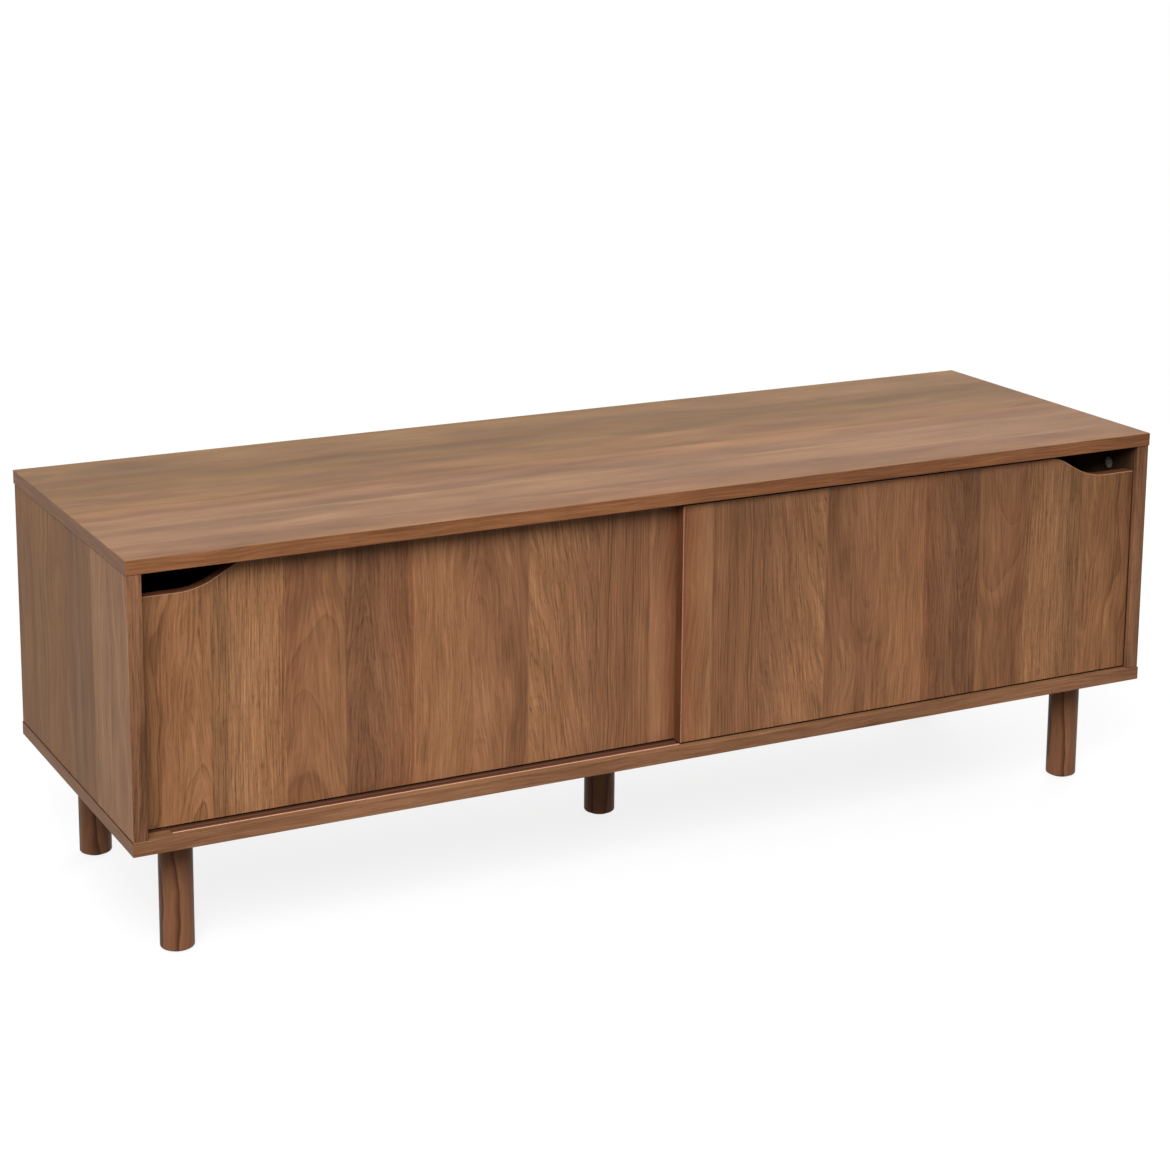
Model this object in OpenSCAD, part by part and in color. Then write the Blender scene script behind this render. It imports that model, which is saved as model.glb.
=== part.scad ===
// Low media cabinet: a walnut-effect box on five round legs, with two boards that slide past
// each other as doors. A notch at the outer top corner of each door is its handle.
// X runs along the width, -Y is the front and Z is up. The floor under the middle is the origin.

/* [Box] */
// Width of the top board
width = 1400; // [1000:10:1800]
// Depth of the top board
depth = 450; // [380:5:600]
// Height of the box, from the underside of the bottom board to the top
box_h = 340; // [280:5:480]
// Thickness of the top, bottom, side and middle boards
board_t = 17; // [16:0.5:25]
// How far the side boards sit back from the ends and the front of the top board
side_reveal = 1; // [0:0.5:3]
// How far the other boards stop short of the top board's back edge
back_reveal = 2; // [0:0.5:5]

/* [Doors] */
// Thickness of a door
door_t = 16; // [15:0.5:19]
// Distance from the front edge of the top board to the front door
door_set_back = 8; // [6:0.5:15]
// Gap between the front door and the rear door
door_spacing = 2; // [2:0.5:5]
// How far the closed doors overlap at the middle
door_overlap = 6; // [2:1:60]
// Gap under a door
gap_below = 2; // [2:0.5:4]
// Gap over a door
gap_above = 4; // [2:0.5:6]

/* [Finger notch] */
// Depth of the notch
notch_depth = 30; // [24:1:45]
// Length of its level stretch
notch_flat = 47; // [30:1:90]
// Radius where the level stretch turns up
notch_low_r = 90; // [40:5:100]
// Radius where the slope meets the door's top edge
notch_high_r = 45; // [20:5:60]
// Steepness of the slope between the two radii
notch_slope = 30; // [26:1:32]

/* [Legs] */
// Clear height under the box
leg_h = 145; // [90:5:250]
// Diameter of a leg
leg_d = 40; // [30:1:60]
// From the end of the top board to the middle of a corner leg
leg_inset_x = 70; // [50:1:150]
// From the front or back of the top board to the middle of a corner leg
leg_inset_y = 67; // [55:1:110]
// Bevel round the lower end of a leg
leg_bevel = 2; // [0.5:0.5:4]
// Diameter of the pad under a leg
pad_d = 28; // [20:1:29]
// Thickness of the pad under a leg
pad_t = 2; // [1:0.5:5]
// Diameter of the threaded rod in a leg
rod_d = 8; // [6:1:10]
// Length of the rod inside a leg
rod_in_leg = 38; // [25:1:60]
// Outer diameter of the threaded socket in the bottom board
socket_d = 13; // [12:0.5:16]
// Height of that socket
socket_h = 12; // [9:0.5:13]

/* [Inside] */
// Thickness of a shelf
shelf_t = 16; // [12:0.5:22]
// Gap between a shelf and the boards beside it
shelf_clear = 1; // [0.5:0.5:2]
// From the front of the middle board to the front of a shelf
shelf_set_back = 12; // [5:1:60]
// Gap behind a shelf, where cables pass
shelf_cable_gap = 30; // [15:1:80]
// Diameter of a shelf pin
pin_d = 5; // [4:0.5:6]
// How far a shelf pin stands out of the board
pin_out = 8; // [6:0.5:10]
// Depth of the holes for the shelf pins
pin_hole_depth = 10; // [8:0.5:12]
// Number of heights at which a shelf can sit
pin_rows = 3; // [1:2:5]
// Distance between those heights
pin_pitch = 32; // [25:1:40]
// From the front or back edge of a shelf to its pins
pin_inset = 40; // [25:1:70]
// Thickness of the back panels
back_t = 3; // [2.5:0.5:4]
// From the back edge of the side boards to the back panels
back_inset = 10; // [6:1:20]
// Depth of the groove that holds the back panels
groove_depth = 6; // [4:0.5:7]
// Play of the back panels in their groove
groove_play = 0.4; // [0.2:0.1:1]
// Diameter of the cable hole in each back panel
cable_hole_d = 60; // [40:1:80]
// From the bottom board to the middle of a cable hole
cable_hole_up = 62; // [55:1:90]

/* [Tracks] */
// Width of the track's lips, which lie on the board
lip_w = 12; // [11:0.5:14]
// Thickness of the lips
lip_t = 0.8; // [0.5:0.1:1]
// Width of the track's body, which is pressed into a groove
track_w = 7; // [6:0.5:9]
// Depth of the track's body
track_depth = 8; // [6:0.5:9]
// Wall of the track's body, at the sides and under the slot
track_wall = 1.5; // [1:0.1:2]
// Distance between a track's end and the side board
track_end_gap = 31; // [20:1:38]
// Play of a door's fins in the slot, on each side, and of its glides over the lips
fin_play = 0.3; // [0.2:0.1:0.5]
// How far a glide's fin reaches below the face of the bottom board
glide_reach = 2.2; // [1.5:0.1:3]
// How far a guide's fin reaches above the underside of the top board
guide_reach = 3; // [2:0.1:4]
// Length of a glide or guide along the door
glide_l = 40; // [24:1:50]
// Width of the part of a glide that is let into the door
glide_w = 10; // [9:0.5:11]
// Depth to which it is let into the door
glide_in = 12; // [8:1:18]
// From a door's edge to the middle of a glide
glide_inset = 60; // [54:1:90]
// From the end of the notch to the middle of the outer guide
guide_past_notch = 40; // [30:1:60]
// Thickness of the soft stops that the doors close against
bumper_t = 1.2; // [1:0.1:3]
// Gap between a closed door and its soft stops
bumper_gap = 0.3; // [0.2:0.1:1]
// Diameter of the soft stops
bumper_d = 9; // [6:0.5:12]
// From a door's lower or upper end to its soft stops
bumper_inset = 60; // [45:1:90]

/* [Fittings] */
// Diameter of a cam lock
cam_d = 15; // [14:0.5:16]
// Thickness of a cam lock under the bolt that it holds
cam_floor = 0.5; // [0.3:0.1:1]
// How far a cam lock lies below the face of its board
cam_sunk = 0.3; // [0:0.1:0.5]
// From the end of a board to the middle of its cam locks
cam_from_end = 34; // [24:1:40]
// From the front or back edge of a board to its cam locks
cam_from_edge = 60; // [40:1:80]
// Diameter of the bolt that a cam lock pulls
bolt_d = 6; // [5:0.5:6.5]
// Depth of the bolt's thread in the board that it holds
bolt_thread_l = 11; // [8:0.5:12]
// Diameter of a dowel
dowel_d = 8; // [6:0.5:10]
// Length of a dowel
dowel_l = 30; // [25:1:40]
// Depth of a dowel's hole in the face of the top or bottom board
dowel_in_face = 11; // [8:0.5:12]
// From a cam lock to the dowel beside it
dowel_from_cam = 32; // [20:1:40]
// Diameter of the screws that hold the back panels
screw_d = 3; // [2.5:0.5:3.5]
// Length of those screws
screw_l = 20; // [15:1:30]
// From the middle of the cabinet to the screws of each back panel
screw_from_middle = 4.5; // [4:0.5:5]

/* [Hidden] */
$fn = 48;
eps = 0.5;             // how far a cut runs past a face
walnut = "#8c6448";
walnut_edge = "#946043";
plastic = "#4a3428";
zinc = "#b9b9b6";

height = leg_h + box_h;
end_x = width / 2;
front_y = -depth / 2;
back_y = depth / 2;
rest_back_y = back_y - back_reveal;
bottom_z = leg_h + board_t;             // upper face of the bottom board
ceiling_z = height - board_t;           // underside of the top board
side_x = end_x - side_reveal;           // outer face of a side board
inner_x = side_x - board_t;             // inner face of a side board
side_front_y = front_y + side_reveal;
back_panel_y = rest_back_y - back_inset - back_t;
middle_z = (bottom_z + ceiling_z) / 2;

front_door_y = front_y + door_set_back;
rear_door_y = front_door_y + door_t + door_spacing;
door_z0 = bottom_z + gap_below;
door_z1 = ceiling_z - gap_above;
door_outer_x = inner_x - bumper_t - bumper_gap;
door_inner_x = -door_overlap / 2;
door_w = door_outer_x - door_inner_x;

// The notch follows a low arc, a straight slope and a high arc.
notch_low_run = notch_low_r * sin(notch_slope);
notch_low_rise = notch_low_r * (1 - cos(notch_slope));
notch_high_run = notch_high_r * sin(notch_slope);
notch_high_rise = notch_high_r * (1 - cos(notch_slope));
notch_rise = notch_depth - notch_low_rise - notch_high_rise;
notch_run = notch_rise / tan(notch_slope);
notch_z = door_z1 - notch_depth;
notch_x1 = door_outer_x - notch_flat;
notch_x2 = notch_x1 - notch_low_run;
notch_x3 = notch_x2 - notch_run;
notch_x4 = notch_x3 - notch_high_run;

track_x = inner_x - track_end_gap;
slot_w = track_w - 2 * track_wall;
slot_depth = track_depth - track_wall;
fin_t = slot_w - 2 * fin_play;
glide_xs = [door_inner_x + glide_inset, door_outer_x - glide_inset];
guide_xs = [door_inner_x + glide_inset, notch_x4 - guide_past_notch];

middle_front_y = rear_door_y + door_t + door_spacing;
shelf_front_y = middle_front_y + shelf_set_back;
shelf_back_y = back_panel_y - shelf_cable_gap;
shelf_z = middle_z - shelf_t / 2;
pin_z = shelf_z - pin_d / 2;
pin_ys = [shelf_front_y + pin_inset, shelf_back_y - pin_inset];
middle_pin_depth = min(pin_hole_depth, board_t / 2 - 1);    // pins from both faces share the board
pin_zs = [for (i = [0:pin_rows - 1]) pin_z + (i - (pin_rows - 1) / 2) * pin_pitch];

leg_x = end_x - leg_inset_x;
leg_y = depth / 2 - leg_inset_y;
leg_spots = [[-leg_x, -leg_y], [leg_x, -leg_y], [-leg_x, leg_y], [leg_x, leg_y], [0, 0]];
pad_stem_d = pad_d / 5;
pad_stem_l = 4 * pad_t;

bolt_head_d = bolt_d + 1;
bolt_hole_d = bolt_d + 2;
cam_bore_depth = board_t / 2 + bolt_hole_d / 2 + cam_floor;
cam_l = cam_bore_depth - cam_sunk;
cam_zs = [bottom_z + cam_from_end, ceiling_z - cam_from_end];
side_cam_ys = [front_y + cam_from_edge, rest_back_y - cam_from_edge - back_inset];
middle_cam_ys = [middle_front_y + cam_from_edge, side_cam_ys[1]];
dowel_in_end = dowel_l - dowel_in_face;
dowel_end_play = 1;
cable_hole_x = (board_t / 2 + inner_x) / 2;

// ---- helpers ----

// A box between two corners.
module block(lo, hi) translate(lo) cube(hi - lo);

// A cylinder along +X from a point.
module rod_x(at, d, l) translate(at) rotate([0, 90, 0]) cylinder(d = d, h = l);

// A cylinder along +Y from a point.
module rod_y(at, d, l) translate(at) rotate([-90, 0, 0]) cylinder(d = d, h = l);

// The left half is the right half seen in a mirror.
module on_left() mirror([1, 0, 0]) children();

module on_both_sides() {
    children();
    on_left() children();
}

// ---- joints between the boards ----

// Places its children at a board's bolts or dowels. s is 1 at the top board and -1 at the bottom
// board; the children are drawn with the joint at z = 0 and the board's end below it.
module at_joint(x, ys) {
    for (y = ys) {
        translate([x, y, ceiling_z]) children();
        translate([x, y, bottom_z]) mirror([0, 0, 1]) children();
    }
}

module at_bolts() {
    on_both_sides() at_joint(inner_x + board_t / 2, side_cam_ys) children();
    at_joint(0, middle_cam_ys) children();
}

module at_dowels() {
    on_both_sides() at_joint(inner_x + board_t / 2, inward(side_cam_ys)) children();
    at_joint(0, inward(middle_cam_ys)) children();
}

function inward(ys) = [ys[0] + dowel_from_cam, ys[1] - dowel_from_cam];

// Holes in the face of the top and bottom boards.
module face_holes() {
    at_bolts() translate([0, 0, -eps]) cylinder(d = bolt_d, h = bolt_thread_l + eps);
    at_dowels() translate([0, 0, -eps]) cylinder(d = dowel_d, h = dowel_in_face + eps);
}

// Holes in the ends of a standing board.
module end_holes() {
    at_bolts() translate([0, 0, -cam_from_end]) cylinder(d = bolt_hole_d, h = cam_from_end + eps);
    at_dowels() translate([0, 0, -dowel_in_end - dowel_end_play])
        cylinder(d = dowel_d, h = dowel_in_end + dowel_end_play + eps);
}

// The bores of the cam locks, in the inner face of a side board or the right face of the middle one.
module cam_bores() {
    on_both_sides() for (y = side_cam_ys, z = cam_zs)
        rod_x([inner_x - eps, y, z], cam_d, cam_bore_depth + eps);
    for (y = middle_cam_ys, z = cam_zs)
        rod_x([board_t / 2 - cam_bore_depth, y, z], cam_d, cam_bore_depth + eps);
}

module cam_lock(sign) {
    cross_w = cam_d / 7;
    cross_l = cam_d * 0.62;
    difference() {
        cylinder(d = cam_d, h = cam_l);
        translate([-cross_w / 2, -cross_l / 2, -eps]) cube([cross_w, cross_l, 2 + eps]);
        translate([-cross_l / 2, -cross_w / 2, -eps]) cube([cross_l, cross_w, 2 + eps]);
        // the way in for the bolt's head, towards the end of the board
        translate([sign * cam_d / 2, 0, board_t / 2 - cam_sunk])
            rotate([0, -sign * 90, 0]) cylinder(d = bolt_hole_d, h = cam_d / 2 + bolt_head_d / 2);
    }
}

module cam_locks() {
    color(zinc) {
        on_both_sides() for (y = side_cam_ys, i = [0, 1])
            translate([inner_x + cam_sunk, y, cam_zs[i]]) rotate([0, 90, 0]) cam_lock(i == 1 ? -1 : 1);
        for (y = middle_cam_ys, i = [0, 1])
            translate([board_t / 2 - cam_sunk, y, cam_zs[i]]) rotate([0, -90, 0])
                cam_lock(i == 1 ? 1 : -1);
    }
}

module cam_bolts() {
    head_l = bolt_head_d / 2;
    color(zinc) at_bolts() {
        cylinder(d = bolt_d, h = bolt_thread_l);
        translate([0, 0, -cam_from_end]) cylinder(d = bolt_d - 1, h = cam_from_end);
        translate([0, 0, -cam_from_end - head_l / 2]) cylinder(d = bolt_head_d, h = head_l);
    }
}

module dowels() {
    color("#d8bf95") at_dowels()
        translate([0, 0, -dowel_in_end]) cylinder(d = dowel_d, h = dowel_l);
}

// ---- boards ----

// The groove for the back panels, cut into every board that holds them.
module back_groove() {
    block([-inner_x - groove_depth, back_panel_y - groove_play / 2, bottom_z - groove_depth],
          [inner_x + groove_depth, back_panel_y + back_t + groove_play / 2, ceiling_z + groove_depth]);
}

module top_board() {
    color(walnut) difference() {
        block([-end_x, front_y, ceiling_z], [end_x, back_y, height]);
        back_groove();
        face_holes();
        for (y = [front_door_y, rear_door_y]) upper_track_bed(y);
    }
}

module bottom_board() {
    color(walnut) difference() {
        block([-end_x, front_y, leg_h], [end_x, rest_back_y, bottom_z]);
        back_groove();
        face_holes();
        for (y = [front_door_y, rear_door_y]) lower_track_bed(y);
        for (s = leg_spots) translate([s[0], s[1], leg_h - eps]) cylinder(d = socket_d, h = socket_h + eps);
    }
}

module shelf_pin_holes() {
    for (y = pin_ys, z = pin_zs) {
        on_both_sides() rod_x([inner_x - eps, y, z], pin_d, pin_hole_depth + eps);
        rod_x([board_t / 2 - middle_pin_depth, y, z], pin_d, middle_pin_depth + eps);
        rod_x([-board_t / 2 - eps, y, z], pin_d, middle_pin_depth + eps);
    }
}

module side_board() {
    color(walnut) difference() {
        block([inner_x, side_front_y, bottom_z], [side_x, rest_back_y, ceiling_z]);
        back_groove();
        end_holes();
        cam_bores();
        shelf_pin_holes();
    }
}

module middle_board() {
    color(walnut) difference() {
        block([-board_t / 2, middle_front_y, bottom_z], [board_t / 2, back_panel_y, ceiling_z]);
        end_holes();
        cam_bores();
        shelf_pin_holes();
        back_screw_shanks();
    }
}

module back_panel() {
    seam = groove_play / 2;
    color("#6e4f3a") difference() {
        block([seam, back_panel_y, bottom_z - groove_depth + groove_play],
              [inner_x + groove_depth - groove_play, back_panel_y + back_t,
               ceiling_z + groove_depth - groove_play]);
        rod_y([cable_hole_x, back_panel_y - eps, bottom_z + cable_hole_up], cable_hole_d,
              back_t + 2 * eps);
        back_screw_shanks();
    }
}

module at_back_screws() {
    for (x = [-screw_from_middle, screw_from_middle], z = [bottom_z + cam_from_end * 2 / 3, middle_z,
         ceiling_z - cam_from_end * 2 / 3])
        translate([x, back_panel_y + back_t, z]) rotate([90, 0, 0]) children();
}

module back_screw_shanks() at_back_screws() translate([0, 0, -eps]) cylinder(d = screw_d, h = screw_l + eps);

module back_screws() {
    head_d = 2 * screw_d;
    head_t = screw_d * 0.6;
    color(zinc) at_back_screws() {
        cylinder(d = screw_d, h = screw_l);
        difference() {
            translate([0, 0, -head_t]) cylinder(d1 = head_d * 0.7, d2 = head_d, h = head_t);
            for (a = [0, 90]) rotate(a) translate([-screw_d / 2, -screw_d / 10, -head_t - eps])
                cube([screw_d, screw_d / 5, head_t / 2 + eps]);
        }
    }
}

// ---- shelves ----

module shelf() {
    color(walnut) block([board_t / 2 + shelf_clear, shelf_front_y, shelf_z],
                        [inner_x - shelf_clear, shelf_back_y, shelf_z + shelf_t]);
}

module shelf_pins() {
    color(zinc) on_both_sides() for (y = pin_ys) {
        rod_x([inner_x - pin_out, y, pin_z], pin_d, pin_out + pin_hole_depth - 1);
        rod_x([board_t / 2 - middle_pin_depth + 0.5, y, pin_z], pin_d, pin_out + middle_pin_depth - 0.5);
    }
}

// ---- tracks ----

// The bed is the groove that holds a track. y is the front face of the door that runs in it.
module lower_track_bed(y) {
    block([-track_x, y + door_t / 2 - track_w / 2, bottom_z - track_depth],
          [track_x, y + door_t / 2 + track_w / 2, bottom_z + eps]);
}

module upper_track_bed(y) {
    block([-track_x, y + door_t / 2 - track_w / 2, ceiling_z - eps],
          [track_x, y + door_t / 2 + track_w / 2, ceiling_z + track_depth]);
}

// A track is drawn lying on z = 0, with its body below and its slot open at the top.
module track() {
    color(plastic) difference() {
        union() {
            block([-track_x, -lip_w / 2, 0], [track_x, lip_w / 2, lip_t]);
            block([-track_x, -track_w / 2, -track_depth], [track_x, track_w / 2, lip_t]);
        }
        block([-track_x - eps, -slot_w / 2, -slot_depth], [track_x + eps, slot_w / 2, lip_t + eps]);
    }
}

module lower_track(y) translate([0, y + door_t / 2, bottom_z]) track();

module upper_track(y) translate([0, y + door_t / 2, ceiling_z]) mirror([0, 0, 1]) track();

module door_bumpers() {
    color("#d9d9d4") on_both_sides()
        for (y = [front_door_y, rear_door_y], z = [door_z0 + bumper_inset, door_z1 - bumper_inset])
            rod_x([inner_x - bumper_t, y + door_t / 2, z], bumper_d, bumper_t);
}

// ---- doors ----

// The outline of the notch in X and Z, on the right door.
module notch_outline() {
    over = door_z1 + eps;
    translate([notch_x1, notch_z]) square([notch_flat + eps, over - notch_z]);
    intersection() {
        translate([notch_x1, notch_z + notch_low_r]) circle(r = notch_low_r, $fn = 128);
        translate([notch_x2, notch_z]) square([notch_low_run, over - notch_z]);
    }
    polygon([[notch_x2, notch_z + notch_low_rise], [notch_x2, over], [notch_x3, over],
             [notch_x3, door_z1 - notch_high_rise]]);
    difference() {
        translate([notch_x4, door_z1 - notch_high_rise]) square([notch_high_run, notch_high_rise + eps]);
        translate([notch_x4, door_z1 - notch_high_r]) circle(r = notch_high_r, $fn = 128);
    }
}

// A right-hand door whose front face is at y.
module door_panel(y) {
    color(walnut_edge) difference() {
        translate([0, y + door_t, 0]) rotate([90, 0, 0]) linear_extrude(door_t) difference() {
            translate([door_inner_x, door_z0]) square([door_w, door_z1 - door_z0]);
            notch_outline();
        }
        for (x = glide_xs) glide_body(x, y, door_z0 - eps, door_z0 + glide_in);
        for (x = guide_xs) glide_body(x, y, door_z1 - glide_in, door_z1 + eps);
    }
}

// The part of a glide or guide that is let into the door's edge.
module glide_body(x, y, z0, z1) {
    block([x - glide_l / 2, y + door_t / 2 - glide_w / 2, z0],
          [x + glide_l / 2, y + door_t / 2 + glide_w / 2, z1]);
}

module fin(x, y, z0, z1) {
    block([x - glide_l / 2, y + door_t / 2 - fin_t / 2, z0],
          [x + glide_l / 2, y + door_t / 2 + fin_t / 2, z1]);
}

// A glide's sole runs on the track's lips, and its fin in the slot keeps the door in line.
module door_glides(y) {
    sole_z = bottom_z + lip_t + fin_play;
    color(plastic) for (x = glide_xs) {
        glide_body(x, y, sole_z, door_z0 + glide_in);
        fin(x, y, bottom_z - glide_reach, sole_z);
    }
}

// The upper slot is deep enough for a door to be lifted until its glides clear the lower track.
module door_guides(y) {
    color(plastic) for (x = guide_xs) {
        glide_body(x, y, door_z1 - glide_in, door_z1);
        fin(x, y, door_z1, ceiling_z + guide_reach);
    }
}

// ---- legs ----

module leg(spot) {
    color(walnut_edge) translate([spot[0], spot[1], 0]) difference() {
        union() {
            translate([0, 0, pad_t]) cylinder(d1 = leg_d - 2 * leg_bevel, d2 = leg_d, h = leg_bevel, $fn = 96);
            translate([0, 0, pad_t + leg_bevel]) cylinder(d = leg_d, h = leg_h - pad_t - leg_bevel, $fn = 96);
        }
        translate([0, 0, leg_h - rod_in_leg]) cylinder(d = rod_d, h = rod_in_leg + eps);
        translate([0, 0, pad_t - eps]) cylinder(d = pad_stem_d, h = pad_stem_l + eps);
    }
}

module leg_rods() {
    color(zinc) for (s = leg_spots)
        translate([s[0], s[1], leg_h - rod_in_leg]) cylinder(d = rod_d, h = rod_in_leg + socket_h - 1);
}

module leg_sockets() {
    color(zinc) for (s = leg_spots) translate([s[0], s[1], leg_h]) difference() {
        cylinder(d = socket_d, h = socket_h);
        translate([0, 0, -eps]) cylinder(d = rod_d, h = socket_h + 2 * eps);
    }
}

module foot_pads() {
    color("#3b3330") for (s = leg_spots) translate([s[0], s[1], 0]) {
        cylinder(d = pad_d, h = pad_t);
        cylinder(d = pad_stem_d, h = pad_t + pad_stem_l);
    }
}

top_board();
bottom_board();
on_left() side_board();  // left_side_board
side_board();  // right_side_board
middle_board();
on_left() back_panel();  // left_back_panel
back_panel();  // right_back_panel
back_screws();
on_left() shelf();  // left_shelf
shelf();  // right_shelf
shelf_pins();
lower_track(front_door_y);  // front_lower_track
lower_track(rear_door_y);  // rear_lower_track
upper_track(front_door_y);  // front_upper_track
upper_track(rear_door_y);  // rear_upper_track
door_bumpers();
cam_locks();
cam_bolts();
dowels();
leg(leg_spots[0]);  // front_left_leg
leg(leg_spots[1]);  // front_right_leg
leg(leg_spots[2]);  // back_left_leg
leg(leg_spots[3]);  // back_right_leg
leg(leg_spots[4]);  // middle_leg
leg_rods();
leg_sockets();
foot_pads();
on_left() door_panel(rear_door_y);  // left_door_panel
on_left() door_glides(rear_door_y);  // left_door_glides
on_left() door_guides(rear_door_y);  // left_door_guides
door_panel(front_door_y);  // right_door_panel
door_glides(front_door_y);  // right_door_glides
door_guides(front_door_y);  // right_door_guides
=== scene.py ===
import math

import bmesh
import bpy
from mathutils import Matrix, Vector


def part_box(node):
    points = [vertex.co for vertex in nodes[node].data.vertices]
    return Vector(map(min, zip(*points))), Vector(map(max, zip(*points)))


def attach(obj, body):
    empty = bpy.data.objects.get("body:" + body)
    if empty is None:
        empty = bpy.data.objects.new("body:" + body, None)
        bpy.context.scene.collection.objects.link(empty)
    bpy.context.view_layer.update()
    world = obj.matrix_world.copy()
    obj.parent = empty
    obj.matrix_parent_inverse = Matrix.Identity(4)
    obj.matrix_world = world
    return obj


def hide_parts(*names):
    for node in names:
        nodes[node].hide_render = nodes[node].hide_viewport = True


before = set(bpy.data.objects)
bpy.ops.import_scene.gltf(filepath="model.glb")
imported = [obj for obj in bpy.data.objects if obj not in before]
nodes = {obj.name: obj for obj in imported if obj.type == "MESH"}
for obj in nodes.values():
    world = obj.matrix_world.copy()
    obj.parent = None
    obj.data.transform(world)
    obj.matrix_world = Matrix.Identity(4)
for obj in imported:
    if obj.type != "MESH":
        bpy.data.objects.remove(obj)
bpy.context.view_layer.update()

MM = 0.001


# ---- Boards of the box -----------------------------------------------------------------------
# The box is 17 mm particle board under melamine foil that is printed with walnut staves, glued
# edge to edge. A thin band of the same print is ironed over the sawn edges, and its corners are
# then rounded by hand. The boards are cut and drilled first, so bores show the raw board.

ARRIS = 0.7 * MM  # radius to which the corners of the band are rounded
SEAM = 0.2  # half the width of the seam between two staves of the print, in millimetres
ALONG_X, ALONG_Y, ALONG_Z = (1, 0, 0), (0, 1, 0), (0, 0, 1)


def linear(code, share=1.0):
    """The linear colour of an sRGB hex code, or a share of its light."""
    parts = [int(code[i:i + 2], 16) / 255 for i in (1, 3, 5)]
    return [share * (p / 12.92 if p <= 0.04045 else ((p + 0.055) / 1.055) ** 2.4)
            for p in parts] + [1.0]


def grey(level):
    """A linear grey."""
    return (level, level, level, 1.0)


def add(tree, kind, inputs=None, stops=(), **settings):
    """Adds a node. Settings are its own properties; inputs are values, or sockets to link from.

    stops are a colour ramp's, as (place, colour) pairs from left to right.
    """
    made = tree.nodes.new(kind)
    for name, value in settings.items():
        setattr(made, name, value)
    for socket, value in (inputs or {}).items():
        if isinstance(value, bpy.types.Node):
            value = value.outputs[0]
        if isinstance(value, bpy.types.NodeSocket):
            tree.links.new(value, made.inputs[socket])
        else:
            made.inputs[socket].default_value = value
    if stops:
        elements = made.color_ramp.elements
        elements.remove(elements[1])
        elements[0].position, elements[0].color = stops[0]
        for place, colour in stops[1:]:
            elements.new(place).color = colour
    return made


def new_material(name):
    """An empty material, with its tree and its output node."""
    material = bpy.data.materials.new(name)
    material.use_nodes = True
    material.node_tree.nodes.clear()
    return material, material.node_tree, add(material.node_tree, "ShaderNodeOutputMaterial")


class Stave:
    """One strip of walnut in the print. Lengths are in millimetres.

    tones are its colours at the left, in the middle and at the right. heart is how far the middle
    of its growth rings lies from its left edge: near the strip the rings make arches, and far
    from it they make straight lines. depth is how far that middle lies behind the surface, slope
    how fast that changes up the strip, and sway how far the tree's own bends push the rings
    sideways. ring is the distance from one ring to the next. The rest are strengths, up to 1.
    """

    def __init__(self, width, tones, heart, depth=15, slope=0.04, sway=26, ring=7, lines=0.3,
                 pores=0.3, figure=0.5):
        self.width = width
        self.tones = [linear(tone) for tone in tones.split()]
        self.heart = heart
        self.depth = depth
        self.slope = slope
        self.sway = sway
        self.ring = ring
        self.lines = lines
        self.pores = pores
        self.figure = figure


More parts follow.
